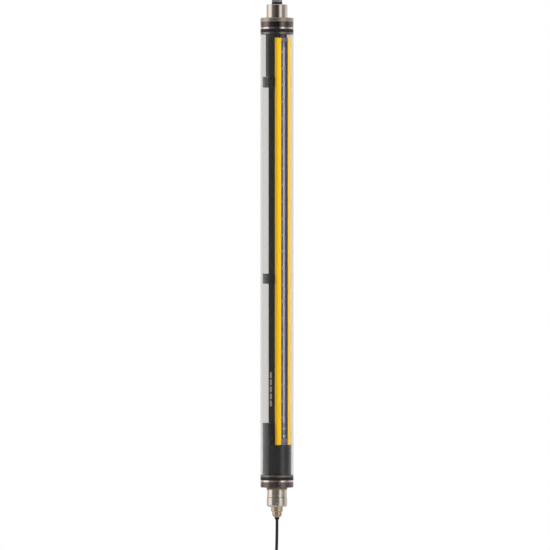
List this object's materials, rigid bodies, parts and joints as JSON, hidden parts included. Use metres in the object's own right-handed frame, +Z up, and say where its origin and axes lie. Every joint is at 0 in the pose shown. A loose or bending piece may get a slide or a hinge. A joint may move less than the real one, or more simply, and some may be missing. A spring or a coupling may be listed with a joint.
{
  "type": "safety light curtain",
  "caption": "Safety light curtain bar sealed in a clear protective tube with steel end caps, a pressure-equalising vent on top and a cable gland with a short plug lead below.",
  "frame": {"origin": "on the protective tube's axis, at the middle of its length", "axes": "+Z up along the tube's axis towards the vent, -Y the way the curtain's window faces, +X to the right seen from the front"},
  "size_m": [0.05, 0.05, 0.9925],
  "materials": {
    "clear_tube": "clear extruded acrylic, polished as drawn",
    "collar_steel": "fine turned stainless steel",
    "black_rubber": "moulded rubber, satin",
    "bright_steel": "turned stainless steel, bright",
    "polished_steel": "polished stainless steel",
    "screw_steel": "plain stainless steel",
    "grey_plastic": "moulded, fine texture",
    "membrane_white": "porous film",
    "black_plastic": "machined and moulded, satin",
    "black_housing": "black coated aluminium extrusion, satin",
    "yellow_rail": "signal yellow coating, semi-gloss",
    "dark_window": "smoked acrylic, glossy",
    "clear_lens": "moulded clear plastic",
    "board_green": "solder mask",
    "dark_electronics": "moulded packages",
    "status_green": "moulded clear light pipe",
    "cable_black": "extruded polyurethane jacket",
    "nickel_plate": "nickel-plated brass",
    "gold_contact": "gold-plated contacts"
  },
  "bodies": {
    "curtain": {"protective_tube": "clear_tube", "bottom_tube_collar": "collar_steel", "top_tube_collar": "collar_steel", "bottom_tube_seal": "black_rubber", "top_tube_seal": "black_rubber", "boss_seal": "black_rubber", "vent_seal": "black_rubber", "gland_seal": "black_rubber", "gland_insert": "black_rubber", "bottom_clamp_ring": "bright_steel", "top_clamp_ring": "bright_steel", "top_cover": "bright_steel", "vent_boss": "bright_steel", "gland_body": "bright_steel", "gland_nut": "bright_steel", "reducer_body": "bright_steel", "reducer_nut": "bright_steel", "bottom_cap": "polished_steel", "top_cap": "polished_steel", "cap_screws": "screw_steel", "slot_nuts": "screw_steel", "slot_screws": "screw_steel", "vent_body": "grey_plastic", "vent_cap": "grey_plastic", "vent_membrane": "membrane_white", "bottom_adapter": "black_plastic", "middle_holder": "black_plastic", "upper_holder": "black_plastic", "top_bracket": "black_plastic", "curtain_bottom_cap": "black_plastic", "curtain_top_cap": "black_plastic", "lens_carrier": "black_plastic", "plug_grip": "black_plastic", "plug_carrier": "black_plastic", "housing_channel": "black_housing", "left_front_rail": "yellow_rail", "right_front_rail": "yellow_rail", "window": "dark_window", "lenses": "clear_lens", "circuit_board": "board_green", "diodes": "dark_electronics", "lead_connector": "dark_electronics", "status_lights": "status_green", "inner_lead": "cable_black", "cable": "cable_black", "plug_pins": "gold_contact"},
    "plug_ring": {"plug_coupling_ring": "nickel_plate", "plug_seal": "black_rubber"}
  },
  "joints": [
    {"name": "plug_ring_turn", "type": "hinge", "parent": "curtain", "child": "plug_ring", "pos_m": [-0.003, 0.0004, -0.5913], "axis": [0, 0, 1], "continuous": true}
  ]
}
